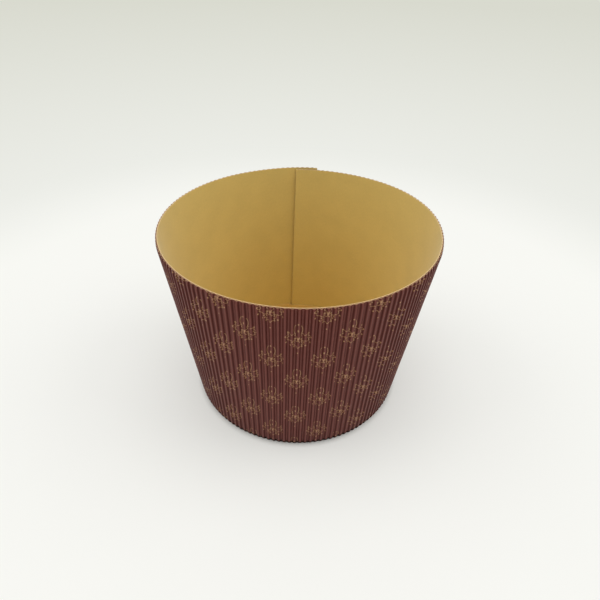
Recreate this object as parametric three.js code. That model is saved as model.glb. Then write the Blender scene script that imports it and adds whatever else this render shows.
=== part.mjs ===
// A round paper baking mould, tapered, of single-face corrugated board.
// Its wall is one flat blank, a sector of a ring, rolled up with the flutes outside and glued where its ends overlap.
// The flutes run straight and parallel in the flat blank, so on the rolled wall they lean more and more towards the seam.
// A disc with an upturned edge is glued inside the wall's foot.
// Millimetres, +Z up, origin at the middle of the base's underside. The front is -Y, the seam is at the back.

import * as THREE from "three";
import { mergeVertices } from "three/addons/utils/BufferGeometryUtils.js";

const { degToRad, lerp, smoothstep } = THREE.MathUtils;
const FULL_TURN = 2 * Math.PI;

// Wall, measured over the flutes' crests
const BASE_RADIUS = 66.3;
const RIM_FLARE = 13.7; // how much further out the rim is than the base
const WALL_HEIGHT = 113.5;

// Board: a fluted paper glued to a smooth one
const FLUTE_PITCH = 3.2; // crest to crest, along the outside
const FLUTE_HEIGHT = 0.75; // trough to crest, of one face of the fluted paper
const CREST_WIDTH = 0.8; // the flat top of a flute, and the flat bottom of a trough
const FLUTED_PAPER = 0.25;
const LINER_PAPER = 0.3;
const GLUE_GAP = 0.3; // between the fluted paper's troughs and the liner

// Seam: the right end of the blank lies inside the left end
const SEAM_ANGLE = degToRad(87.45); // the middle of the overlap at the rim, counted from +X
const SEAM_OVERLAP = 15.6; // along the rim
const SEAM_LEAN = degToRad(2.2); // how much further round the inner end reaches at the foot
const SEAM_GAP = 0.3; // glue between the two ends
const SEAM_INSET = 1.7; // how far the inner end is pressed inwards
const INSET_SPREAD = degToRad(50); // the turn over which the wall comes back to round
const GRAIN_ANGLE = degToRad(-84.9); // where the flutes stand upright

// Rim, a little out of true as the real one is
const RIM_LIFT = 0.8; // how much higher the outer end stands
const LIFT_SPREAD = degToRad(35);
const RIM_BULGE = 0.8; // the wall springs out beside the inset
const BULGE_ANGLE = degToRad(22);
const BULGE_SPREAD = degToRad(40);

// Base disc
const DISC_PAPER = 0.5;
const DISC_GAP = 0.3; // glue between its upturned edge and the liner
const EDGE_HEIGHT = 5; // of the upturned edge, from the table
const FOLD_SIZE = 1; // of the slanting fold, outside
const STEP_SPREAD = degToRad(9); // the turn over which the edge passes the step at the seam

// Fineness
const STRAIGHT_TURN = degToRad(8.7); // a leaning flute is straight for at most this turn of the wall
const DISC_SIDES = 60;
const SHORTEST_LINE = 1.5; // the blank's sharp corners are blunt where a flute would be shorter
const MERGE_WITHIN = 1e-3;

// The flat blank: the two arcs' radii about the sector's point, with x across the flutes and y along them
const SLANT = Math.hypot(WALL_HEIGHT, RIM_FLARE);
const SIN_TAPER = RIM_FLARE / SLANT;
const RIM_RADIUS = BASE_RADIUS + RIM_FLARE;
const BLANK_FOOT = BASE_RADIUS / SIN_TAPER;
const BLANK_TOP = RIM_RADIUS / SIN_TAPER;

// Angles on the rolled wall run down from the inner end, once round, to the outer end
const HALF_OVERLAP = SEAM_OVERLAP / 2 / RIM_RADIUS;
const INNER_END = SEAM_ANGLE + HALF_OVERLAP;
const INNER_END_AT_FOOT = INNER_END + SEAM_LEAN;
const OUTER_END = SEAM_ANGLE - HALF_OVERLAP - FULL_TURN;
const RIGHT_CUT = straightCut(INNER_END_AT_FOOT, INNER_END);
const LEFT_CUT = straightCut(OUTER_END, OUTER_END);

// The board's depth, inwards from the crests
const LINER_DEPTH = FLUTE_HEIGHT + FLUTED_PAPER + GLUE_GAP;
const BOARD = LINER_DEPTH + LINER_PAPER;

// Flat facets lie inside the true cone by up to this much, so what lies inside the liner keeps clear of it
const FACET_TURN = STRAIGHT_TURN + FLUTE_PITCH / BASE_RADIUS;
const FACET_SAG = RIM_RADIUS * (1 - Math.cos(FACET_TURN / 2));
const SEAM_OUTSET = BOARD + SEAM_GAP + FACET_SAG - SEAM_INSET;

// A cut at an end of the flat blank, from its angles on the rolled wall at the foot and at the rim
function straightCut(footAngle, rimAngle) {
  const foot = (footAngle - GRAIN_ANGLE) * SIN_TAPER;
  const rim = (rimAngle - GRAIN_ANGLE) * SIN_TAPER;
  return {
    foot: { x: BLANK_FOOT * Math.sin(foot), y: BLANK_FOOT * Math.cos(foot) },
    rim: { x: BLANK_TOP * Math.sin(rim), y: BLANK_TOP * Math.cos(rim) },
  };
}

// 1 at the start of a spread, falling smoothly to 0 at its end
function fade(distance, spread) {
  return 1 - smoothstep(distance, 0, spread);
}

// How far the wall lies out of round at an angle, at a share of its height
function wallShift(angle, share) {
  const inset = SEAM_INSET * fade(OUTER_END + FULL_TURN - angle, INSET_SPREAD);
  const outset = SEAM_OUTSET * fade(angle - (INNER_END - FULL_TURN), INSET_SPREAD);
  const bulge = RIM_BULGE * share * fade(Math.abs(angle - BULGE_ANGLE), BULGE_SPREAD);
  return outset - inset + bulge;
}

// A point of the flat blank on the rolled wall, depth millimetres inside the crests
function rolled(x, y, depth) {
  const reach = Math.hypot(x, y);
  const angle = GRAIN_ANGLE + Math.atan2(x, y) / SIN_TAPER;
  const share = (reach - BLANK_FOOT) / SLANT;
  const radius = reach * SIN_TAPER - depth + wallShift(angle, share);
  const lift = RIM_LIFT * fade(angle - OUTER_END, LIFT_SPREAD);
  return new THREE.Vector3(
    radius * Math.cos(angle),
    radius * Math.sin(angle),
    share * (WALL_HEIGHT + lift),
  );
}

// Where a line along the flutes enters and leaves the flat blank
function lineSpan(x) {
  const { foot, rim } = x > 0 ? RIGHT_CUT : LEFT_CUT;
  const onArc = Math.sqrt(Math.max(BLANK_FOOT ** 2 - x ** 2, 0));
  const onCut = lerp(foot.y, rim.y, (x - foot.x) / (rim.x - foot.x));
  return {
    bottom: Math.max(onArc, onCut),
    top: Math.sqrt(BLANK_TOP ** 2 - x ** 2),
  };
}

// How many straight stretches a line along the flutes has, the same for every line in one trough
function rowsAt(x) {
  const trough = (Math.floor(x / FLUTE_PITCH) + 0.5) * FLUTE_PITCH;
  const { bottom, top } = lineSpan(trough);
  const turn = Math.abs(Math.atan2(trough, bottom) - Math.atan2(trough, top)) / SIN_TAPER;
  return Math.max(Math.ceil(turn / STRAIGHT_TURN), 1);
}

// Merges the vertices that have come together, and drops the faces that this leaves empty
function tidied(geometry) {
  geometry.deleteAttribute("normal");
  geometry.deleteAttribute("uv");
  const merged = mergeVertices(geometry, MERGE_WITHIN);
  const corners = Array.from(merged.index.array);
  const kept = [];
  for (let i = 0; i < corners.length; i += 3) {
    const face = corners.slice(i, i + 3);
    if (new Set(face).size === 3) {
      kept.push(...face);
    }
  }
  merged.setIndex(kept);
  merged.computeVertexNormals();
  return merged;
}

// A sheet of the blank from its columns, each with the x and depth of its outer and inner face.
// It starts as a box of unit cells, and each vertex is moved to its column, row and face.
// Rows that a column doesn't need come together at its top.
function sheet(columns) {
  const cells = columns.length - 1;
  const rows = Math.max(...columns.map(({ outer }) => rowsAt(outer.x)));
  const box = new THREE.BoxGeometry(cells, rows, 1, cells, rows, 1);
  box.translate(cells / 2, rows / 2, 0);
  const position = box.getAttribute("position");
  for (let i = 0; i < position.count; i += 1) {
    const column = columns[Math.round(position.getX(i))];
    const face = position.getZ(i) > 0 ? column.outer : column.inner;
    const { bottom, top } = lineSpan(face.x);
    const share = Math.min(Math.round(position.getY(i)) / rowsAt(face.x), 1);
    const point = rolled(face.x, lerp(bottom, top, share), face.depth);
    position.setXYZ(i, point.x, point.y, point.z);
  }
  return tidied(box);
}

// The fluted paper: a flute has the four corners of a trapezoid, mitred so that the paper is equally thick all along
function flutedColumns() {
  const flank = FLUTE_PITCH / 2 - CREST_WIDTH;
  const mitre = (FLUTED_PAPER / 2) * Math.tan(Math.atan2(FLUTE_HEIGHT, flank) / 2);
  const corners = [
    { at: -CREST_WIDTH / 2, depth: 0, side: -1 },
    { at: CREST_WIDTH / 2, depth: 0, side: 1 },
    { at: (FLUTE_PITCH - CREST_WIDTH) / 2, depth: FLUTE_HEIGHT, side: 1 },
    { at: (FLUTE_PITCH + CREST_WIDTH) / 2, depth: FLUTE_HEIGHT, side: -1 },
  ];
  const isLongEnough = ({ x }) => lineSpan(x).top - lineSpan(x).bottom > SHORTEST_LINE;
  const first = Math.floor(LEFT_CUT.rim.x / FLUTE_PITCH);
  const last = Math.ceil(RIGHT_CUT.rim.x / FLUTE_PITCH);
  const columns = [];
  for (let flute = first; flute <= last; flute += 1) {
    for (const { at, depth, side } of corners) {
      const x = flute * FLUTE_PITCH + at;
      columns.push({
        outer: { x: x + side * mitre, depth },
        inner: { x: x - side * mitre, depth: depth + FLUTED_PAPER },
      });
    }
  }
  return columns.filter(({ outer, inner }) => isLongEnough(outer) && isLongEnough(inner));
}

// The liner: a column under every trough, one at each corner of the blank's foot, and one at each end
function linerColumns(fluted) {
  const left = fluted[0].inner.x;
  const right = fluted[fluted.length - 1].inner.x;
  const fixed = [left, LEFT_CUT.foot.x, RIGHT_CUT.foot.x, right];
  const isClear = (x) => fixed.every((other) => Math.abs(other - x) > FLUTE_PITCH / 2);
  const troughs = [];
  for (let flute = Math.ceil(left / FLUTE_PITCH); flute < right / FLUTE_PITCH; flute += 1) {
    troughs.push((flute + 0.5) * FLUTE_PITCH);
  }
  return [...fixed, ...troughs.filter((x) => x < right && isClear(x))]
    .sort((a, b) => a - b)
    .map((x) => ({
      outer: { x, depth: LINER_DEPTH },
      inner: { x, depth: BOARD },
    }));
}

// How far the disc's edge is shifted: it follows the liner, and passes smoothly over the step at the inner end
function edgeShift(direction) {
  const angle = direction > INNER_END_AT_FOOT ? direction - FULL_TURN : direction;
  const pastStep = angle - (INNER_END_AT_FOOT - FULL_TURN);
  return lerp(wallShift(angle, 0), -SEAM_INSET, fade(pastStep, STEP_SPREAD));
}

// The base disc: a turned tray, then moved in and out with the wall that its edge follows
function discGeometry() {
  const taper = RIM_FLARE / WALL_HEIGHT;
  const foot = BASE_RADIUS - BOARD - DISC_GAP - FACET_SAG;
  const mitre = DISC_PAPER * Math.tan(Math.PI / 8);
  const profile = [
    [0, 0],
    [foot - FOLD_SIZE, 0],
    [foot + taper * FOLD_SIZE, FOLD_SIZE],
    [foot + taper * EDGE_HEIGHT, EDGE_HEIGHT],
    [foot + taper * EDGE_HEIGHT - DISC_PAPER, EDGE_HEIGHT],
    [foot + taper * FOLD_SIZE - DISC_PAPER, FOLD_SIZE + mitre],
    [foot - FOLD_SIZE - mitre, DISC_PAPER],
    [0, DISC_PAPER],
  ].map(([radius, height]) => new THREE.Vector2(radius, height));
  const tray = new THREE.LatheGeometry(profile, DISC_SIDES).rotateX(Math.PI / 2);
  const position = tray.getAttribute("position");
  for (let i = 0; i < position.count; i += 1) {
    const x = position.getX(i);
    const y = position.getY(i);
    const grown = 1 + edgeShift(Math.atan2(y, x)) / foot;
    position.setXYZ(i, x * grown, y * grown, position.getZ(i));
  }
  return tidied(tray);
}

function mesh(name, geometry, color) {
  const made = new THREE.Mesh(
    geometry,
    new THREE.MeshStandardMaterial({ color, roughness: 0.85, metalness: 0, flatShading: true }),
  );
  made.name = name;
  return made;
}

const fluted = flutedColumns();
const mould = new THREE.Group();
mould.name = "baking_mould";
mould.add(
  mesh("fluted_wall", sheet(fluted), "#63382f"),
  mesh("wall_liner", sheet(linerColumns(fluted)), "#b08c4e"),
  mesh("base_disc", discGeometry(), "#a98548"),
);

export default mould;
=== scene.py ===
"""A round paper baking mould of single-face corrugated board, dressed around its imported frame.

Three papers are made anew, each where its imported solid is: the fluted outer paper with its smooth
flutes and its printed lace, the smooth kraft liner, and the pressed base disc.
Everything is in metres, +Z up, with the front at -Y and the glued seam at the back.
"""

import logging
import math
from collections.abc import Callable
from dataclasses import dataclass, field
from enum import Enum, IntEnum
from itertools import accumulate, pairwise

import bmesh
import bpy
from mathutils import Matrix, Vector


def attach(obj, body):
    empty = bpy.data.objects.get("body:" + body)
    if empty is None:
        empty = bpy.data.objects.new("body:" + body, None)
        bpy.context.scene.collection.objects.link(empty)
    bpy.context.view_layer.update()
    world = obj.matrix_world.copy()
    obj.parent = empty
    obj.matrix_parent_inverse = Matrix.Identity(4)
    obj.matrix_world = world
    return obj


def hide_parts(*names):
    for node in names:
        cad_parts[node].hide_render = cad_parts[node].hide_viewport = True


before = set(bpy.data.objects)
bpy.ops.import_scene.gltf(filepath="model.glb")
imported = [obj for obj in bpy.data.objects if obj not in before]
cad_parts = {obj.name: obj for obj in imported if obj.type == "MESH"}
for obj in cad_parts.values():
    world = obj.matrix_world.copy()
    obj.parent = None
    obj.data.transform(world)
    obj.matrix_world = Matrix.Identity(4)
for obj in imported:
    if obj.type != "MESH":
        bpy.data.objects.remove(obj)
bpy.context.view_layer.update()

MM = 0.001
FULL_TURN = 2 * math.pi
BODY = "root"
FLAT_MAP = "FlatSheet"  # millimetres on the paper before it was fluted and rolled
BAKE_MAP = "OFBake"  # the whole piece laid out in one square
CUT_ROUGHNESS = 0.85  # of a sheared edge, where the fibres' ends stand out
log = logging.getLogger("baking_mould")


class Face(IntEnum):
    """The faces of a paper, in the order of its material slots."""

    FRONT = 0
    BACK = 1
    CUT = 2


class Shade(Enum):
    """The tones of unbleached kraft paper, as sRGB."""

    LINER = "#d5ba6b"
    FLUTED = "#c4a06c"
    BASE = "#dcba6e"
    LINER_CUT = "#e2c28c"
    FLUTED_CUT = "#bd8f68"


def fade(distance: float, spread: float) -> float:
    """Gives 1 up to the start of a spread, falling smoothly to 0 at its end.

    Args:
        distance: How far past the start of the spread.
        spread: The spread's length.

    Returns:
        A share from 1 to 0.
    """
    share = min(max(distance / spread, 0.0), 1.0)
    return 1 - share * share * (3 - 2 * share)


def linear(hex_colour: str) -> tuple[float, float, float, float]:
    """Turns an sRGB hex colour into linear light.

    Args:
        hex_colour: The colour, such as "#b08c4e".

    Returns:
        Red, green, blue and an alpha of 1.
    """
    parts = [int(hex_colour[i : i + 2], 16) / 255 for i in (1, 3, 5)]
    light = [c / 12.92 if c <= 0.04045 else ((c + 0.055) / 1.055) ** 2.4 for c in parts]
    return (*light, 1.0)


def add(
    tree: bpy.types.NodeTree, kind: str, inputs: object = (), **settings: object
) -> bpy.types.Node:
    """Adds a node with its settings and its links.

    Args:
        tree: The node tree.
        kind: The node's type, without its "ShaderNode".
        inputs: What goes into its sockets, in their order or by their names. Each is a node, a
            socket or a value.
        **settings: The node's own properties.

    Returns:
        The node.
    """
    made = tree.nodes.new("ShaderNode" + kind)
    for name, value in settings.items():
        setattr(made, name, value)
    sockets = [socket for socket in made.inputs if socket.enabled]
    if isinstance(inputs, dict):
        by_name = {socket.name: socket for socket in reversed(sockets)}
        pairs = [(by_name[name], value) for name, value in inputs.items()]
    else:
        pairs = list(zip(sockets, inputs))
    for socket, value in pairs:
        if isinstance(value, bpy.types.Node):
            value = next(output for output in value.outputs if output.enabled)
        if isinstance(value, bpy.types.NodeSocket):
            tree.links.new(value, socket)
        else:
            socket.default_value = value
    return made


def new_material(name: str) -> bpy.types.Material:
    """Makes a material without nodes.

    Args:
        name: Its name.

    Returns:
        The material, with an empty node tree.
    """
    made = bpy.data.materials.new(name)
    made.use_nodes = True
    made.node_tree.nodes.clear()
    return made


def placed(name: str, data: bpy.types.ID) -> bpy.types.Object:
    """Puts a mesh, a lamp or a camera into the scene.

    Args:
        name: The object's name.
        data: The mesh, lamp or camera.

    Returns:
        The object, at the origin.
    """
    made = bpy.data.objects.new(name, data)
    bpy.context.scene.collection.objects.link(made)
    return made


def finished(name: str, shape: bmesh.types.BMesh) -> bpy.types.Object:
    """Turns a shape into an object of the scene.

    Args:
        name: The name of the object and of its mesh.
        shape: The shape, which is freed.

    Returns:
        The object, at the origin.
    """
    mesh = bpy.data.meshes.new(name)
    shape.to_mesh(mesh)
    shape.free()
    return placed(name, mesh)


@dataclass(frozen=True)
class Board:
    """Single-face corrugated board: a fluted paper glued to a smooth one."""

    flute_pitch: float = 3.2 * MM
    bluntness: float = 0.5  # how much flatter than a sine wave the crests and troughs are
    crest_bias: float = 0.18  # how much broader the crests are than the troughs
    fluted_paper: float = 0.22 * MM
    liner_paper: float = 0.3 * MM
    thickness: float = 1.55 * MM  # from the crests to the inside
    glue: float = 0.03 * MM  # between the troughs and the liner

    @property
    def liner_depth(self) -> float:
        """The liner's outer face, inwards from the crests."""
        return self.thickness - self.liner_paper

    @property
    def flute_height(self) -> float:
        """From trough to crest, on one face of the fluted paper."""
        return self.liner_depth - self.fluted_paper - self.glue

    def depth(self, x: float) -> float:
        """Gives how far the fluted paper's outer face lies inside the crests.

        Args:
            x: The place across the flutes.

        Returns:
            The depth, in metres.
        """
        swing = self._swing(x)
        blunt = swing * (1 + self.bluntness - self.bluntness * swing**2)
        return self.flute_height * (1 - blunt) / 2

    def _swing(self, x: float) -> float:
        """A wave from 1 on the crests to -1 in the troughs, with broad crests."""
        wave = math.cos(FULL_TURN * x / self.flute_pitch)
        return wave + self.crest_bias * (1 - wave**2)

    def slope(self, x: float) -> float:
        """Gives how fast that face goes inwards.

        Args:
            x: The place across the flutes.

        Returns:
            The change of depth for each step across.
        """
        turn = FULL_TURN * x / self.flute_pitch
        pull = 1 + self.bluntness - 3 * self.bluntness * self._swing(x) ** 2
        fall = math.sin(turn) * (1 - 2 * self.crest_bias * math.cos(turn))
        return self.flute_height * math.pi / self.flute_pitch * fall * pull


@dataclass(frozen=True)
class Blank:
    """The wall's flat blank, a sector of a ring, and how it is rolled up.

    On the flat blank x runs across the flutes and y along them, from the point of the sector.
    Rolled up, its right end lies inside its left end, at the back. Angles run down from the inner
    end, once round, to the outer end.
    """

    board: Board = Board()
    base_radius: float = 66.3 * MM
    rim_flare: float = 13.7 * MM
    height: float = 113.5 * MM
    foot_lift: float = 0.12 * MM  # the mould stands on its base, a little below the wall's cut edge
    seam_angle: float = math.radians(87.2)
    seam_overlap: float = 15.0 * MM
    seam_lean: float = math.radians(2.2)  # how much further round the inner end reaches at the foot
    seam_gap: float = 0.2 * MM
    seam_inset: float = 1.7 * MM
    inset_spread: float = math.radians(50)
    grain_angle: float = math.radians(-84.9)  # where the flutes stand upright
    rim_lift: float = 0.79 * MM
    lift_spread: float = math.radians(35)
    rim_bulge: float = 0.8 * MM
    bulge_angle: float = math.radians(22)
    bulge_spread: float = math.radians(40)

    @property
    def slant(self) -> float:
        """The wall's height along its slope."""
        return math.hypot(self.height, self.rim_flare)

    @property
    def sin_taper(self) -> float:
        """The sine of the angle between the wall and the upright."""
        return self.rim_flare / self.slant

    @property
    def foot(self) -> float:
        """The radius of the blank's foot about the point of the sector."""
        return self.base_radius / self.sin_taper

    @property
    def top(self) -> float:
        """The radius of the blank's rim about the point of the sector."""
        return self.foot + self.slant

    @property
    def inner_end(self) -> float:
        """The angle at which the inner end stops."""
        return self.seam_angle + self.half_overlap

    @property
    def outer_end(self) -> float:
        """The angle at which the outer end stops, a turn further down."""
        return self.seam_angle - self.half_overlap - FULL_TURN

    @property
    def half_overlap(self) -> float:
        """Half of the turn that the two ends share."""
        return self.seam_overlap / 2 / (self.base_radius + self.rim_flare)

    def flat_point(self, reach: float, angle: float) -> tuple[float, float]:
        """The x and y on the flat blank of a point at an angle of the rolled wall."""
        flat = (angle - self.grain_angle) * self.sin_taper
        return reach * math.sin(flat), reach * math.cos(flat)

    def cut(self, is_inner: bool) -> tuple[tuple[float, float], tuple[float, float]]:
        """Gives the straight cut at one end of the flat blank.

        Args:
            is_inner: Whether it is the inner end.

        Returns:
            The x and y of its foot and of its top.
        """
        foot_angle = self.inner_end + self.seam_lean if is_inner else self.outer_end
        top_angle = self.inner_end if is_inner else self.outer_end
        return self.flat_point(self.foot, foot_angle), self.flat_point(self.top, top_angle)

    def shift(self, angle: float, share: float) -> float:
        """How far the wall lies out of round.

        Args:
            angle: The angle on the rolled wall.
            share: The share of its height.

        Returns:
            The distance outwards, in metres.
        """
        outwards = self.board.thickness + self.seam_gap - self.seam_inset
        inset = self.seam_inset * fade(self.outer_end + FULL_TURN - angle, self.inset_spread)
        outset = outwards * fade(angle - (self.inner_end - FULL_TURN), self.inset_spread)
        bulge = self.rim_bulge * share * fade(abs(angle - self.bulge_angle), self.bulge_spread)
        return outset - inset + bulge

    def rolled(self, x: float, y: float, depth: float) -> Vector:
        """Places a point of the flat blank on the rolled wall.

        Args:
            x: Its place across the flutes.
            y: Its place along them.
            depth: How far it lies inside the crests.

        Returns:
            Its place on the mould.
        """
        reach = math.hypot(x, y)
        angle = self.grain_angle + math.atan2(x, y) / self.sin_taper
        share = (reach - self.foot) / self.slant
        radius = reach * self.sin_taper - depth + self.shift(angle, share)
        lift = self.rim_lift * fade(angle - self.outer_end, self.lift_spread)
        rise = self.foot_lift + share * (self.height + lift - self.foot_lift)
        return Vector((radius * math.cos(angle), radius * math.sin(angle), rise))

    def line_span(self, x: float) -> tuple[float, float]:
        """Gives where a line along the flutes enters and leaves the flat blank.

        Args:
            x: Its place across the flutes.

        Returns:
            The y of its foot and of its top.
        """
        low, high = self.cut(x > 0)
        on_arc = math.sqrt(max(self.foot**2 - x**2, 0.0))
        on_cut = low[1] + (high[1] - low[1]) * (x - low[0]) / (high[0] - low[0])
        return max(on_arc, on_cut), math.sqrt(self.top**2 - x**2)


@dataclass
class Paper:
    """A sheet of paper made from a grid: its front, a copy for its back, and cut edges between.

    Every point is named by its column and row in the grid.
    """

    name: str
    columns: int
    levels: list[float]  # each row's share of the sheet's height
    front: Callable[[int, int], Vector]
    back: Callable[[int, int], Vector]
    flat: Callable[[int, int], tuple[float, float]]  # its place on the flat sheet, in millimetres
    strips: int  # how many strips its front is cut into on the baking map
    front_share: float  # how much of that map the front takes
    edge_share: float = 0.03
    margin: float = 0.004

    @property
    def rows(self) -> int:
        """How many rows of faces the grid has."""
        return len(self.levels) - 1

    def build(self) -> bpy.types.Object:
        """Makes the sheet's mesh and object.

        Returns:
            The object, with its faces numbered as in Face.
        """
        sheet = bmesh.new()
        # The grid is one unit wide, around the origin
        bmesh.ops.create_grid(sheet, x_segments=self.columns, y_segments=self.rows, size=0.5)
        place: dict[bmesh.types.BMVert, tuple[int, int]] = {
            vert: (round((vert.co.x + 0.5) * self.columns), round((vert.co.y + 0.5) * self.rows))
            for vert in sheet.verts
        }
        front_faces = sheet.faces[:]
        copied = bmesh.ops.duplicate(sheet, geom=sheet.verts[:] + sheet.edges[:] + sheet.faces[:])
        back_faces = [part for part in copied["geom"] if isinstance(part, bmesh.types.BMFace)]
        back_verts = {copied["vert_map"][vert]: spot for vert, spot in place.items()}
        for vert, spot in place.items():
            vert.co = self.front(*spot)
        for vert, spot in back_verts.items():
            vert.co = self.back(*spot)
        bmesh.ops.reverse_faces(sheet, faces=back_faces)
        border = [edge for edge in sheet.edges if edge.is_boundary]
        cut_faces = bmesh.ops.bridge_loops(sheet, edges=border)["faces"]
        for edge in border:
            edge.smooth = False
        spots = place | back_verts
        flat = sheet.loops.layers.uv.new(FLAT_MAP)
        baked = sheet.loops.layers.uv.new(BAKE_MAP)
        sides = ((front_faces, Face.FRONT), (back_faces, Face.BACK), (cut_faces, Face.CUT))
        for faces, kind in sides:
            for face in faces:
                face.material_index = kind
                face.smooth = True
                around = [spots[loop.vert] for loop in face.loops]
                for loop, spot, laid in zip(face.loops, around, self._laid_out(kind, around)):
                    loop[flat].uv = self.flat(*spot)
                    loop[baked].uv = laid
        bmesh.ops.recalc_face_normals(sheet, faces=sheet.faces[:])
        return finished(self.name, sheet)

    def _laid_out(self, kind: Face, around: list[tuple[int, int]]) -> list[tuple[float, float]]:
        """Places a face's corners on the baking map.

        Args:
            kind: Which face of the paper it is on.
            around: Its corners' columns and rows.

        Returns:
            The corners' places on the map.
        """
        if kind is Face.FRONT:
            wide = math.ceil(self.columns / self.strips)
            strip = min(column for column, _ in around) // wide
            floor = self.front_share * strip / self.strips
            tall = self.front_share / self.strips
        else:
            wide = self.columns
            strip = 0
            floor = self.front_share if kind is Face.BACK else 1 - self.edge_share
            tall = 1 - self.front_share - self.edge_share if kind is Face.BACK else self.edge_share
        laid = []
        for column, row in around:
            across = (column - strip * wide) / wide
            up = self.levels[row]
            laid.append((
                self.margin + (1 - 2 * self.margin) * across,
                floor + self.margin + (tall - 2 * self.margin) * up,
            ))
        return laid


@dataclass(frozen=True)
class Loop:
    """A scalloped ring of the lace.

    Lengths are millimetres from the motif's middle, seen over the crests.
    """

    x: float
    y: float
    radius: float
    scallops: int
    depth: float
    turn: float  # the direction of one scallop from the ring's middle

    def outside(self, tree: bpy.types.NodeTree, spot: bpy.types.Node) -> bpy.types.Node:
        """Measures from the ring's line, on either side.

        Args:
            tree: The material's node tree.
            spot: The spot's place in the motif.

        Returns:
            A node with the spot's distance, in millimetres.
        """
        away = add(tree, "VectorMath", (spot, (self.x, self.y, 0.0)), operation="SUBTRACT")
        along_x, along_y, _ = add(tree, "SeparateXYZ", [away]).outputs
        reach = add(tree, "VectorMath", (away,), operation="LENGTH").outputs["Value"]
        wave = add(tree, "Math", (along_y, along_x), operation="ARCTAN2")
        start = -self.scallops * self.turn
        wave = add(tree, "Math", (wave, self.scallops, start), operation="MULTIPLY_ADD")
        wave = add(tree, "Math", (wave,), operation="COSINE")
        edge = add(tree, "Math", (wave, self.depth, self.radius), operation="MULTIPLY_ADD")
        beside = add(tree, "Math", (reach, edge), operation="SUBTRACT")
        return add(tree, "Math", (beside,), operation="ABSOLUTE")


@dataclass(frozen=True)
class Bead:
    """A filled spot of the lace, longer or shorter along the flutes than across them."""

    x: float
    y: float
    radius: float
    length: float = 1.0  # for each width

    def outside(self, tree: bpy.types.NodeTree, spot: bpy.types.Node) -> bpy.types.Node:
        """Measures from the bead's edge.

        Args:
            tree: The material's node tree.
            spot: The spot's place in the motif.

        Returns:
            A node with the spot's distance, in millimetres, negative on the bead.
        """
        away = add(tree, "VectorMath", (spot, (self.x, self.y, 0.0)), operation="SUBTRACT")
        squared = add(tree, "VectorMath", (away, (1.0, 1 / self.length, 1.0)), operation="MULTIPLY")
        reach = add(tree, "VectorMath", (squared,), operation="LENGTH").outputs["Value"]
        return add(tree, "Math", (reach, self.radius), operation="SUBTRACT")


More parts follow.
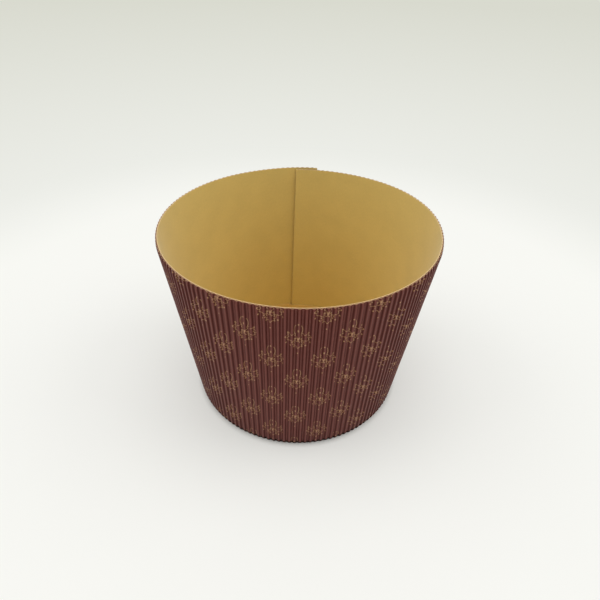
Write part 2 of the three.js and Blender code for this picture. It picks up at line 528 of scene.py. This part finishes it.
@dataclass(frozen=True)
class LaceFlower:
    """The print's motif, a plain lace lily, and its half-drop repeat.

    The lily is the same on its left and right. Lengths are millimetres, seen over the crests: on
    the flat sheet the motif is wider by the take-up.
    """

    line: float = 0.42  # the width of the printed lines
    softness: float = 0.12  # how far their edges blur to each side
    loops: tuple[Loop, ...] = (
        Loop(3.2, 0.9, 2.35, 6, 0.5, math.radians(65)),
        Loop(0.0, -3.7, 2.15, 8, 0.35, math.radians(90)),
    )
    beads: tuple[Bead, ...] = (
        Bead(0.0, 0.0, 0.38, 2.2),
        Bead(1.3, -0.5, 0.26, 1.8),
        Bead(0.0, 5.6, 0.28, 2.6),
        Bead(0.0, 9.9, 0.3, 1.5),
        Bead(0.0, -9.9, 0.26, 1.5),
        Bead(4.8, 3.8, 0.34, 1.4),
        Bead(4.5, 1.0, 0.34),
        Bead(5.6, -2.6, 0.32, 1.6),
        Bead(2.8, -2.4, 0.34),
        Bead(3.5, -4.2, 0.32, 1.5),
        Bead(1.9, -5.8, 0.34, 1.4),
    )
    leaf_y: float = 5.8
    leaf_half_width: float = 1.98
    leaf_half_length: float = 2.8
    leaf_curve: float = 6.6  # the radius of its two sides
    leaf_line: float = 0.28  # the width of their lines
    column_spacing: float = 25.63
    row_spacing: float = 16.29
    first_column: float = -6.64  # from the blank's middle line
    first_row: float = 3.05  # below the rim

    def ink(self, tree: bpy.types.NodeTree, take_up: float, rim: float) -> bpy.types.Node:
        """Draws the repeated motif.

        Args:
            tree: The material's node tree.
            take_up: The paper's length for each length of board.
            rim: The rim's place along the flutes on the flat sheet, in millimetres.

        Returns:
            A node that gives 1 on the printed lines and 0 beside them.
        """
        half_column = self.column_spacing / 2
        sheet = add(tree, "SeparateXYZ", [add(tree, "UVMap", uv_map=FLAT_MAP)])
        across, along, _ = sheet.outputs
        across = add(
            tree, "Math", (across, 1 / take_up, -self.first_column), operation="MULTIPLY_ADD",
        )
        second_row = rim - self.first_row - self.row_spacing
        along = add(tree, "Math", (along, second_row), operation="SUBTRACT")
        # Folded at every half column and row, the sheet is one small rectangle with a motif at two
        # opposite corners. A spot beyond the other diagonal is drawn from the second motif.
        x = add(tree, "Math", (across, half_column), operation="PINGPONG")
        y = add(tree, "Math", (along, self.row_spacing), operation="PINGPONG")
        share = add(tree, "Math", (x, 1 / half_column), operation="MULTIPLY")
        share = add(tree, "Math", (y, 1 / self.row_spacing, share), operation="MULTIPLY_ADD")
        beyond = add(tree, "Math", (share, 1.0), operation="GREATER_THAN")
        moved = add(tree, "Math", (beyond, half_column), operation="MULTIPLY")
        x = add(tree, "Math", (moved, x), operation="SUBTRACT")
        x = add(tree, "Math", (x,), operation="ABSOLUTE")
        y = add(tree, "Math", (beyond, self.row_spacing, along), operation="MULTIPLY_ADD")
        y = add(tree, "Math", (y, self.row_spacing, -self.row_spacing), operation="WRAP")
        spot = add(tree, "CombineXYZ", (x, y))
        ink = self._leaf(tree, spot)
        for loop in self.loops:
            ink = add(tree, "Math", (ink, loop.outside(tree, spot)), operation="MINIMUM")
        ink = add(tree, "Math", (ink, self.line / 2), operation="SUBTRACT")
        for bead in self.beads:
            ink = add(tree, "Math", (ink, bead.outside(tree, spot)), operation="MINIMUM")
        edge = (ink, -self.softness, self.softness, 1.0, 0.0)
        return add(tree, "MapRange", edge, interpolation_type="SMOOTHSTEP")

    def _leaf(self, tree: bpy.types.NodeTree, spot: bpy.types.Node) -> bpy.types.Node:
        """Measures from the two bowed sides of the leaf at the motif's top.

        Args:
            tree: The material's node tree.
            spot: The spot's place in the motif.

        Returns:
            A node with the spot's distance, in millimetres.
        """
        middle = (self.leaf_half_width - self.leaf_curve, self.leaf_y, 0.0)
        away = add(tree, "VectorMath", (spot, middle), operation="SUBTRACT")
        reach = add(tree, "VectorMath", (away,), operation="LENGTH").outputs["Value"]
        beside = add(tree, "Math", (reach, self.leaf_curve), operation="SUBTRACT")
        beside = add(tree, "Math", (beside,), operation="ABSOLUTE")
        thinner = (self.line - self.leaf_line) / 2
        beside = add(tree, "Math", (beside, thinner), operation="ADD")
        _, along, _ = add(tree, "SeparateXYZ", [away]).outputs
        above = add(tree, "Math", (along,), operation="ABSOLUTE")
        above = add(tree, "Math", (above, self.leaf_half_length), operation="SUBTRACT")
        return add(tree, "Math", (beside, above), operation="MAXIMUM")


@dataclass(frozen=True)
class Grain:
    """An unevenness of the paper: soft spots, as wide as they are long or drawn out."""

    size: float  # across the flutes, in millimetres
    detail: float  # how many finer spots lie in each
    depth: float = 0.0  # how much lighter and darker they make the paper
    stretch: float = 1.0  # their length along the flutes for each width

    def spots(self, tree: bpy.types.NodeTree, sheet: bpy.types.Node) -> bpy.types.Node:
        """Draws the spots.

        Args:
            tree: The material's node tree.
            sheet: The place on the flat sheet.

        Returns:
            A node with a height from 0 to 1.
        """
        drawn_out = add(tree, "Mapping", {"Vector": sheet, "Scale": (1.0, 1 / self.stretch, 1.0)})
        return add(tree, "TexNoise", {
            "Vector": drawn_out, "Scale": 1 / self.size, "Detail": self.detail,
        })

    def tone(self, tree: bpy.types.NodeTree, spots: bpy.types.Node) -> bpy.types.Node:
        """Gives how light the spots make the paper, around 1."""
        tones = {"Value": spots, "To Min": 1 - self.depth, "To Max": 1 + self.depth}
        return add(tree, "MapRange", tones)


@dataclass(frozen=True)
class BareKraft:
    """Unbleached kraft paper, machine made and left bare.

    The eye sees a matt, slightly cloudy tan with short fibres in it. The fibres that stand up from
    it catch the light, so it looks paler where it is seen at a low angle.
    """

    name: str
    shade: Shade
    roughness: float = 0.72
    ior: float = 1.45
    gloss: float = 0.3
    fuzz: float = 0.3
    fuzz_roughness: float = 0.5
    clouds: Grain = Grain(size=14.0, detail=3.0, depth=0.07)  # how unevenly the pulp settled
    # Drawn coarser than real fibres, which are too fine to show
    fibres: Grain = Grain(size=0.35, detail=2.0, depth=0.1, stretch=5.0)
    relief: float = 0.02 * MM

    def material(self) -> bpy.types.Material:
        """Makes the material.

        Returns:
            The finished material.
        """
        made = new_material(self.name)
        tree = made.node_tree
        sheet = add(tree, "UVMap", uv_map=FLAT_MAP)
        clouds = self.clouds.spots(tree, sheet)
        fibres = self.fibres.spots(tree, sheet)
        tones = (self.clouds.tone(tree, clouds), self.fibres.tone(tree, fibres))
        tone = add(tree, "Math", tones, operation="MULTIPLY")
        shade = linear(self.shade.value)[:3]
        colour = add(tree, "VectorMath", {"Vector": shade, "Scale": tone}, operation="SCALE")
        bump = add(tree, "Bump", {"Height": fibres, "Distance": self.relief})
        paper = add(tree, "BsdfPrincipled", {
            "Base Color": colour,
            "Roughness": self.roughness,
            "IOR": self.ior,
            "Specular IOR Level": self.gloss,
            "Sheen Weight": self.fuzz,
            "Sheen Roughness": self.fuzz_roughness,
            "Normal": bump,
        })
        add(tree, "OutputMaterial", [paper])
        return made


@dataclass(frozen=True)
class PrintedKraft:
    """Kraft paper printed all over in brown ink with gold-brown lace, before it was fluted.

    The ink seals the paper a little, so the crests carry a soft sheen. The lace was printed flat,
    so the flutes break its lines into dashes. The crests and troughs are painted paler and greyer
    than the flanks: painted light and sheen, with the flanks in painted shade.
    """

    name: str = "brown_printed_kraft"
    # The ink's ground: darker on the flanks as painted shade, paler on the crests and troughs as
    # painted light and sheen
    ground: str = "#4c150a"
    painted_lit_ground: str = "#713d35"
    # The lace's ink: likewise in painted shade on the flanks and in painted light on the crests and
    # troughs
    lace: str = "#a77951"
    painted_lit_lace: str = "#b58c67"
    flower: LaceFlower = LaceFlower()
    roughness: float = 0.5
    lace_roughness: float = 0.42
    ior: float = 1.5
    gloss: float = 0.16
    mottle: Grain = Grain(size=3.0, detail=4.0, depth=0.12)  # the ink's uneven film
    # The fibres along the flutes, drawn coarser than the real ones, which are too fine to show
    streaks: Grain = Grain(size=0.8, detail=2.0, depth=0.1, stretch=14.0)
    relief: float = 0.02 * MM
    cover: float = 0.95  # how much of the ground the lace's ink hides
    specks: Grain = Grain(size=0.3, detail=1.0)  # where that ink took badly
    speck_from: float = 0.3  # the height of the specks up to which the ink is thin
    speck_to: float = 0.5  # the height from which it is full
    thin_cover: float = 0.5  # the share of the cover where it is thin
    painted_foot_shade: float = 0.12  # the foot edge's tone: painted shade where the wall meets the floor
    foot_from: float = 0.9 * MM
    foot_to: float = 3.4 * MM

    def material(self, take_up: float, flute_pitch: float, rim: float) -> bpy.types.Material:
        """Makes the material. Lengths are millimetres on the flat sheet.

        Args:
            take_up: The paper's length for each length of board.
            flute_pitch: The paper's length for each flute.
            rim: The rim's place along the flutes.

        Returns:
            The finished material.
        """
        made = new_material(self.name)
        tree = made.node_tree
        sheet = add(tree, "UVMap", uv_map=FLAT_MAP)
        mottle = self.mottle.spots(tree, sheet)
        streaks = self.streaks.spots(tree, sheet)
        tones = (self.mottle.tone(tree, mottle), self.streaks.tone(tree, streaks))
        tone = add(tree, "Math", tones, operation="MULTIPLY")
        # Painted light on the crests and troughs and painted shade on the flanks, by how light
        # falls on the flutes
        painted_light = self._painted_crest_light(tree, sheet, flute_pitch)
        ink = self._lace_ink(tree, sheet, self.flower.ink(tree, take_up, rim))
        grounds = (painted_light, linear(self.ground), linear(self.painted_lit_ground))
        laces = (painted_light, linear(self.lace), linear(self.painted_lit_lace))
        ground = add(tree, "Mix", grounds, data_type="RGBA")
        lace = add(tree, "Mix", laces, data_type="RGBA")
        colour = add(tree, "Mix", (ink, ground, lace), data_type="RGBA")
        # Painted shade at the foot, darker towards the floor
        foot = self._painted_shade_by_height(tree)
        tone = add(tree, "Math", (tone, foot), operation="MULTIPLY")
        colour = add(tree, "VectorMath", {"Vector": colour, "Scale": tone}, operation="SCALE")
        rough = add(tree, "MapRange", {
            "Value": ink, "To Min": self.roughness, "To Max": self.lace_roughness,
        })
        paper = add(tree, "BsdfPrincipled", {
            "Base Color": colour,
            "Roughness": rough,
            "IOR": self.ior,
            # The painted shade at the foot dims the sheen there too
            "Specular IOR Level": add(tree, "Math", (foot, self.gloss), operation="MULTIPLY"),
            "Normal": add(tree, "Bump", {"Height": streaks, "Distance": self.relief}),
        })
        add(tree, "OutputMaterial", [paper])
        return made

    def _painted_crest_light(
        self, tree: bpy.types.NodeTree, sheet: bpy.types.Node, flute_pitch: float
    ) -> bpy.types.Node:
        """Finds the crests and troughs, which take painted light, and the flanks, which take
        painted shade.

        Args:
            tree: The material's node tree.
            sheet: The place on the flat sheet.
            flute_pitch: The paper's length for each flute.

        Returns:
            A node that gives 1 on each crest and in each trough, and 0 on the flanks between.
        """
        across, _, _ = add(tree, "SeparateXYZ", [sheet]).outputs
        wave = add(tree, "Math", (across, 2 * FULL_TURN / flute_pitch), operation="MULTIPLY")
        wave = add(tree, "Math", (wave,), operation="COSINE")
        return add(tree, "MapRange", (wave, -1.0, 1.0), interpolation_type="SMOOTHSTEP")

    def _lace_ink(
        self, tree: bpy.types.NodeTree, sheet: bpy.types.Node, drawn: bpy.types.Node
    ) -> bpy.types.Node:
        """Makes the lace's ink thinner in small specks.

        Args:
            tree: The material's node tree.
            sheet: The place on the flat sheet.
            drawn: The lace, 1 on its lines and 0 beside them.

        Returns:
            A node with the share of the ground that the ink hides.
        """
        specks = add(tree, "MapRange", {
            "Value": self.specks.spots(tree, sheet),
            "From Min": self.speck_from,
            "From Max": self.speck_to,
            "To Min": self.thin_cover * self.cover,
            "To Max": self.cover,
        })
        return add(tree, "Math", (drawn, specks), operation="MULTIPLY")

    def _painted_shade_by_height(self, tree: bpy.types.NodeTree) -> bpy.types.Node:
        """Paints shade on the foot, where the wall meets the floor.

        Args:
            tree: The material's node tree.

        Returns:
            A node with the wall's tone by its height, dark at the foot and 1 above it.
        """
        place = add(tree, "TexCoord").outputs["Object"]
        _, _, height = add(tree, "SeparateXYZ", [place]).outputs
        fall = (height, self.foot_from, self.foot_to, self.painted_foot_shade, 1.0)
        return add(tree, "MapRange", fall, interpolation_type="SMOOTHSTEP")


@dataclass
class FlutedWall:
    """The fluted outer paper of the wall."""

    blank: Blank
    flute_points: int = 12  # lines of the mesh for each flute
    edge_rows: tuple[float, ...] = (0.0, 0.5 * MM, 1.1 * MM, 2.2 * MM)  # from each cut edge
    middle_rows: int = 16
    foot_crush: float = 0.6  # how far the flutes are pressed flat at the foot
    rim_crush: float = 0.5
    crush_spread: float = 2.2 * MM
    shortest_line: float = 1.5 * MM  # the blank's sharp corners are blunt where flutes are shorter
    map_strips: int = 3
    map_share: float = 0.82
    levels: list[float] = field(init=False)
    xs: list[float] = field(init=False)
    developed: list[float] = field(init=False)

    def __post_init__(self) -> None:
        """Works out the rows, the columns, and the paper's own length up to each column."""
        edge = [distance / self.blank.slant for distance in self.edge_rows]
        middle = 1 - 2 * edge[-1]
        rows = range(1, self.middle_rows)
        inner = [edge[-1] + middle * row / self.middle_rows for row in rows]
        self.levels = [*edge, *inner, *(1 - level for level in reversed(edge))]
        step = self.blank.board.flute_pitch / self.flute_points
        left, right = (self.blank.cut(is_inner)[1][0] for is_inner in (False, True))
        columns = range(math.ceil(left / step), math.floor(right / step))
        self.xs = [column * step for column in columns if self._is_long_enough(column * step)]
        depths = [self.blank.board.depth(x) for x in self.xs]
        lengths = [math.hypot(b[0] - a[0], b[1] - a[1]) for a, b in pairwise(zip(self.xs, depths))]
        sums = list(accumulate(lengths, initial=0.0))
        crest = sums[min(range(len(self.xs)), key=lambda i: abs(self.xs[i]))]
        self.developed = [length - crest for length in sums]

    @property
    def take_up(self) -> float:
        """The fluted paper's length for each length of board."""
        return (self.developed[-1] - self.developed[0]) / (self.xs[-1] - self.xs[0])

    def _is_long_enough(self, x: float) -> bool:
        """Tells whether the blank is long enough for a line of the mesh, on both faces.

        Args:
            x: The line's place across the flutes.

        Returns:
            Whether both are longer than the shortest line.
        """
        reach = self.blank.board.fluted_paper
        spans = [self.blank.line_span(x + side) for side in (-reach, reach)]
        return all(top - bottom > self.shortest_line for bottom, top in spans)

    def _along(self, x: float, row: int) -> float:
        """The place along the flutes of a row at x."""
        bottom, top = self.blank.line_span(x)
        return bottom + (top - bottom) * self.levels[row]

    def _pressed(self, x: float, row: int) -> float:
        """Gives the printed face's depth. The cutter pressed the crests down at the edges.

        Args:
            x: The place across the flutes.
            row: The row of the grid.

        Returns:
            The depth, in metres.
        """
        up = self.levels[row] * self.blank.slant
        crush = self.foot_crush * fade(up, self.crush_spread)
        crush += self.rim_crush * fade(self.blank.slant - up, self.crush_spread)
        depth = self.blank.board.depth(x)
        return depth + (self.blank.board.flute_height - depth) * crush

    def _front(self, column: int, row: int) -> Vector:
        """A point of the printed face."""
        x = self.xs[column]
        return self.blank.rolled(x, self._along(x, row), self._pressed(x, row))

    def _back(self, column: int, row: int) -> Vector:
        """Gives a point of the bare face, one thickness of paper inside the printed one.

        Args:
            column: The column of the grid.
            row: The row of the grid.

        Returns:
            Its place on the mould.
        """
        board = self.blank.board
        x = self.xs[column]
        slope = board.slope(x)
        inwards = board.fluted_paper / math.hypot(1.0, slope)
        inner_x = x - slope * inwards
        depth = self._pressed(x, row) + inwards
        return self.blank.rolled(inner_x, self._along(inner_x, row), depth)

    def _flat(self, column: int, row: int) -> tuple[float, float]:
        """A point's place on the flat sheet, in millimetres."""
        return self.developed[column] / MM, self._along(self.xs[column], row) / MM

    def build(self) -> bpy.types.Object:
        """Makes and dresses the paper.

        Returns:
            The finished piece.
        """
        made = Paper(
            "fluted_wall_paper", len(self.xs) - 1, self.levels, self._front, self._back, self._flat,
            self.map_strips, self.map_share,
        ).build()
        flute_pitch = self.take_up * self.blank.board.flute_pitch / MM
        finishes = (
            PrintedKraft().material(self.take_up, flute_pitch, self.blank.top / MM),
            # The unprinted side, browner than the liner
            BareKraft("fluted_bare_kraft", Shade.FLUTED).material(),
            # Sheared, so rougher and darker than its faces
            BareKraft("fluted_cut_kraft", Shade.FLUTED_CUT, roughness=CUT_ROUGHNESS).material(),
        )
        for finish in finishes:
            made.data.materials.append(finish)
        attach(made, BODY)
        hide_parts("fluted_wall")
        return made


@dataclass
class WallLiner:
    """The smooth kraft paper that the fluted paper is glued to."""

    blank: Blank
    columns: int = 400
    rows: int = 24
    map_strips: int = 3
    map_share: float = 0.8

    def _spot(self, column: int, row: int) -> tuple[float, float]:
        """Gives a point's place on the flat blank.

        Args:
            column: The column of the grid.
            row: The row of the grid.

        Returns:
            Its x and y.
        """
        blank = self.blank
        share = row / self.rows
        inner_end = blank.inner_end + blank.seam_lean * (1 - share)
        angle = blank.outer_end + (inner_end - blank.outer_end) * column / self.columns
        return blank.flat_point(blank.foot + blank.slant * share, angle)

    def _front(self, column: int, row: int) -> Vector:
        """A point of the face that shows, inside the mould."""
        return self.blank.rolled(*self._spot(column, row), self.blank.board.thickness)

    def _back(self, column: int, row: int) -> Vector:
        """A point of the face that the flutes are glued to."""
        return self.blank.rolled(*self._spot(column, row), self.blank.board.liner_depth)

    def _flat(self, column: int, row: int) -> tuple[float, float]:
        """A point's place on the flat sheet, in millimetres."""
        x, y = self._spot(column, row)
        return x / MM, y / MM

    def build(self) -> bpy.types.Object:
        """Makes and dresses the paper.

        Returns:
            The finished piece.
        """
        levels = [row / self.rows for row in range(self.rows + 1)]
        made = Paper(
            "wall_liner_paper", self.columns, levels, self._front, self._back, self._flat,
            self.map_strips, self.map_share,
        ).build()
        finishes = (
            # Pressed smooth by the hot drum it dried on, so an even, matt tan
            BareKraft("smooth_kraft", Shade.LINER).material(),
            # Glued to the flutes, as brown as they are
            BareKraft("liner_glued_kraft", Shade.FLUTED).material(),
            # Sheared, so rougher and paler than its faces
            BareKraft("liner_cut_kraft", Shade.LINER_CUT, roughness=CUT_ROUGHNESS).material(),
        )
        for finish in finishes:
            made.data.materials.append(finish)
        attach(made, BODY)
        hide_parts("wall_liner")
        return made


@dataclass
class BaseDisc:
    """The disc that closes the bottom, pressed to a shallow tray with a finely pleated edge."""

    blank: Blank
    paper: float = 0.5 * MM
    gap: float = 0.15 * MM  # glue between the edge and the liner
    edge_height: float = 5 * MM
    fold_radius: float = 1 * MM
    fold_steps: int = 5
    edge_steps: int = 4
    pleats: int = 90
    pleat_points: int = 6
    pleat_depth: float = 0.22 * MM
    step_spread: float = math.radians(0.9)  # the turn over which the edge passes the seam's step
    hub: float = 2 * MM
    floor_rings: int = 6
    sharp_angle: float = math.radians(50)  # between faces that don't look smooth together
    weld: float = 0.001 * MM  # vertices nearer to each other than this are one

    @property
    def foot(self) -> float:
        """The radius of the edge's outer face, were it carried down to the table."""
        return self.blank.base_radius - self.blank.board.thickness - self.gap

    @property
    def taper(self) -> float:
        """How far the wall leans out for each height."""
        return self.blank.rim_flare / self.blank.height

    def _edge_shift(self, direction: float) -> float:
        """Gives how far the edge is out of round: it follows the liner, smooth past its inner end.

        Args:
            direction: The angle around the disc.

        Returns:
            The distance outwards, in metres.
        """
        blank = self.blank
        inner_end = blank.inner_end + blank.seam_lean
        angle = direction - FULL_TURN if direction > inner_end else direction
        past = fade(angle - (inner_end - FULL_TURN), self.step_spread)
        return (1 - past) * blank.shift(angle, 0.0) - past * blank.seam_inset

    def _profile(self, inset: float) -> list[tuple[float, float]]:
        """The section's outer or inner face, from the middle to the top of the edge.

        Args:
            inset: How far inside the outer face it lies.

        Returns:
            The radius and height of each point.
        """
        centre = self.foot - self.fold_radius
        bend = self.fold_radius - inset
        flat = centre - self.hub
        rings = [self.hub + flat * ring / self.floor_rings for ring in range(self.floor_rings)]
        points = [(radius, inset) for radius in rings]
        for step in range(self.fold_steps + 1):
            turn = math.pi / 2 * step / self.fold_steps
            height = self.fold_radius - bend * math.cos(turn)
            points.append((centre + bend * math.sin(turn), height))
        upright = self.edge_height - self.fold_radius
        for step in range(1, self.edge_steps + 1):
            height = self.fold_radius + upright * step / self.edge_steps
            points.append((self.foot - inset, height))
        return [(radius + self.taper * height, height) for radius, height in points]

    def build(self) -> bpy.types.Object:
        """Makes and dresses the disc.

        Returns:
            The finished piece.
        """
        outer = self._profile(0.0)
        inner = self._profile(self.paper)
        section = [(0.0, outer[0][1]), *outer, *reversed(inner), (0.0, inner[0][1])]
        disc = bmesh.new()
        points = [disc.verts.new((radius, 0.0, height)) for radius, height in section]
        lines = [disc.edges.new(pair) for pair in pairwise(points)]
        bmesh.ops.spin(
            disc, geom=points + lines, cent=(0, 0, 0), axis=(0, 0, 1), dvec=(0, 0, 0),
            angle=FULL_TURN, steps=self.pleats * self.pleat_points, use_merge=True,
            use_duplicate=False,
        )
        bmesh.ops.remove_doubles(disc, verts=disc.verts[:], dist=self.weld)
        upright = self.edge_height - self.fold_radius
        for vert in disc.verts:
            radius = math.hypot(vert.co.x, vert.co.y)
            direction = math.atan2(vert.co.y, vert.co.x)
            risen = max(vert.co.z - self.fold_radius, 0.0) / upright
            pleat = self.pleat_depth * risen * (1 - math.cos(self.pleats * direction)) / 2
            moved = self._edge_shift(direction) * radius / self.foot - pleat
            if radius > self.hub / 2:
                vert.co.x *= 1 + moved / radius
                vert.co.y *= 1 + moved / radius
        bmesh.ops.recalc_face_normals(disc, faces=disc.faces[:])
        flat = disc.loops.layers.uv.new(FLAT_MAP)
        for face in disc.faces:
            face.smooth = True
            for loop in face.loops:
                place = loop.vert.co
                loop[flat].uv = (place.x / MM, place.y / MM + place.z / MM)
        made = finished("base_disc_paper", disc)
        made.data.set_sharp_from_angle(angle=self.sharp_angle)
        # Pressed between heated dies, so as smooth as the liner and a little warmer
        made.data.materials.append(BareKraft("pressed_kraft", Shade.BASE).material())
        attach(made, BODY)
        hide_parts("base_disc")
        return made


@dataclass(frozen=True)
class Studio:
    """The pale floor, the soft light and the camera at the photograph's angle."""

    camera_place: tuple[float, float, float] = (0.0, -0.2398, 0.2406)
    pitch: float = 0.6506  # below the horizon, in radians
    heading: float = 0.0044
    roll: float = 0.0245
    focal: float = 473.3  # in pixels
    picture: float = 600.0  # how many of them the picture is wide
    sensor: float = 36.0
    clip: tuple[float, float] = (0.01, 50.0)
    floor_size: float = 12.0
    floor_colour: str = "#f3f3ee"
    floor_roughness: float = 0.9
    backdrop_near: str = "#f4f5f1"
    backdrop_far: str = "#d9dacf"
    backdrop_share: float = 0.35  # of the floor's look near the object, so its shadow stays
    contact_from: float = 66.0 * MM  # nothing lightens the shadow up to here from the middle
    contact_to: float = 69.5 * MM
    backdrop_from: float = 0.18  # where the floor starts to pass into the backdrop, in metres
    backdrop_to: float = 0.45
    backdrop_pull: float = 0.6  # how soon the backdrop darkens
    backdrop_end: float = 2.6
    sky_colour: str = "#ffffff"
    sky: float = 0.62
    lamp_size: float = 1.2
    lamps: tuple[tuple[float, float, float, float], ...] = (  # x, y, z and watts
        (-1.15, 0.0, 1.2, 5.8),
        (1.15, 0.0, 1.2, 6.0),
        (0.0, 0.0, 1.6, 6.0),
    )

    def camera(self) -> None:
        """Makes the camera."""
        data = bpy.data.cameras.new("camera")
        data.sensor_width = self.sensor
        data.lens = self.focal * self.sensor / self.picture
        data.clip_start, data.clip_end = self.clip
        east, north = math.sin(self.heading), math.cos(self.heading)
        flat = math.cos(self.pitch)
        forward = Vector((east * flat, north * flat, -math.sin(self.pitch)))
        right = Vector((north, -east, 0.0))
        up = right.cross(forward)
        rolled_right = right * math.cos(self.roll) + up * math.sin(self.roll)
        rolled_up = up * math.cos(self.roll) - right * math.sin(self.roll)
        turned = Matrix((rolled_right, rolled_up, -forward)).transposed().to_4x4()
        made = placed("camera", data)
        made.matrix_world = Matrix.Translation(self.camera_place) @ turned
        bpy.context.scene.camera = made

    def floor(self) -> None:
        """Makes the floor, which isn't part of the object."""
        plane = bmesh.new()
        bmesh.ops.create_grid(plane, x_segments=1, y_segments=1, size=self.floor_size / 2)
        made = finished("floor", plane)
        # Matt paper swept up behind the object: it passes evenly from the floor to the backdrop
        material = new_material("pale_paper_sweep")
        tree = material.node_tree
        place = add(tree, "TexCoord").outputs["Object"]
        distance = add(tree, "VectorMath", (place,), operation="LENGTH").outputs["Value"]
        paper = add(tree, "BsdfPrincipled", {
            "Base Color": linear(self.floor_colour),
            "Roughness": self.floor_roughness,
            "Specular IOR Level": 0.0,
        })
        nearness = add(tree, "Math", (distance, self.backdrop_pull), operation="ADD")
        nearness = add(tree, "Math", (1.0, nearness), operation="DIVIDE")
        nearest = 1 / (self.backdrop_from + self.backdrop_pull)
        farthest = 1 / (self.backdrop_end + self.backdrop_pull)
        far = add(tree, "MapRange", (nearness, nearest, farthest))
        tones = (far, linear(self.backdrop_near), linear(self.backdrop_far))
        colour = add(tree, "Mix", tones, data_type="RGBA")
        backdrop = add(tree, "Emission", {"Color": colour, "Strength": 1.0})
        passing = (distance, self.backdrop_from, self.backdrop_to)
        past = add(tree, "MapRange", passing, interpolation_type="SMOOTHSTEP")
        lightening = (distance, self.contact_from, self.contact_to, 0.0, self.backdrop_share)
        share = add(tree, "MapRange", lightening, interpolation_type="SMOOTHSTEP")
        shown = add(tree, "Math", (share, past), operation="MAXIMUM")
        shown = add(tree, "Math", (shown, self._seen(tree)), operation="MULTIPLY")
        add(tree, "OutputMaterial", [add(tree, "MixShader", (shown, paper, backdrop))])
        made.data.materials.append(material)

    @staticmethod
    def _seen(tree: bpy.types.NodeTree) -> bpy.types.Node:
        """Tells the rays of the picture from those that light the object.

        Args:
            tree: The node tree of a material or the world.

        Returns:
            A node that gives 1 where the camera sees a surface, also by reflection or through
            glass.
        """
        path = add(tree, "LightPath").outputs
        seen = (path["Is Camera Ray"], path["Is Glossy Ray"])
        seen = add(tree, "Math", seen, operation="MAXIMUM")
        return add(tree, "Math", (seen, path["Is Transmission Ray"]), operation="MAXIMUM")

    def light(self) -> None:
        """Makes the sky, a soft lamp at each side and one above."""
        world = bpy.data.worlds.new("studio")
        bpy.context.scene.world = world
        world.use_nodes = True
        tree = world.node_tree
        tree.nodes.clear()
        far = linear(self.backdrop_far)
        backdrop = add(tree, "Background", {"Color": far, "Strength": 1.0})
        white = linear(self.sky_colour)
        sky = add(tree, "Background", {"Color": white, "Strength": self.sky})
        add(tree, "OutputWorld", [add(tree, "MixShader", (self._seen(tree), sky, backdrop))])
        for x, y, z, watts in self.lamps:
            data = bpy.data.lights.new("soft_lamp", "AREA")
            data.shape = "DISK"
            data.size = self.lamp_size
            data.energy = watts
            lamp = placed("soft_lamp", data)
            lamp.location = (x, y, z)
            lamp.rotation_euler = Vector((-x, -y, -z)).to_track_quat("-Z", "Y").to_euler()


def main() -> None:
    """Builds the mould and its studio."""
    logging.basicConfig(level=logging.INFO, format="%(name)s: %(message)s")
    bpy.context.scene.view_settings.view_transform = "Standard"
    studio = Studio()
    studio.camera()
    blank = Blank()
    for section in (FlutedWall(blank), WallLiner(blank), BaseDisc(blank)):
        piece = section.build()
        log.info("%s: %d faces", piece.name, len(piece.data.polygons))
    studio.floor()
    studio.light()


if __name__ == "__main__":
    main()
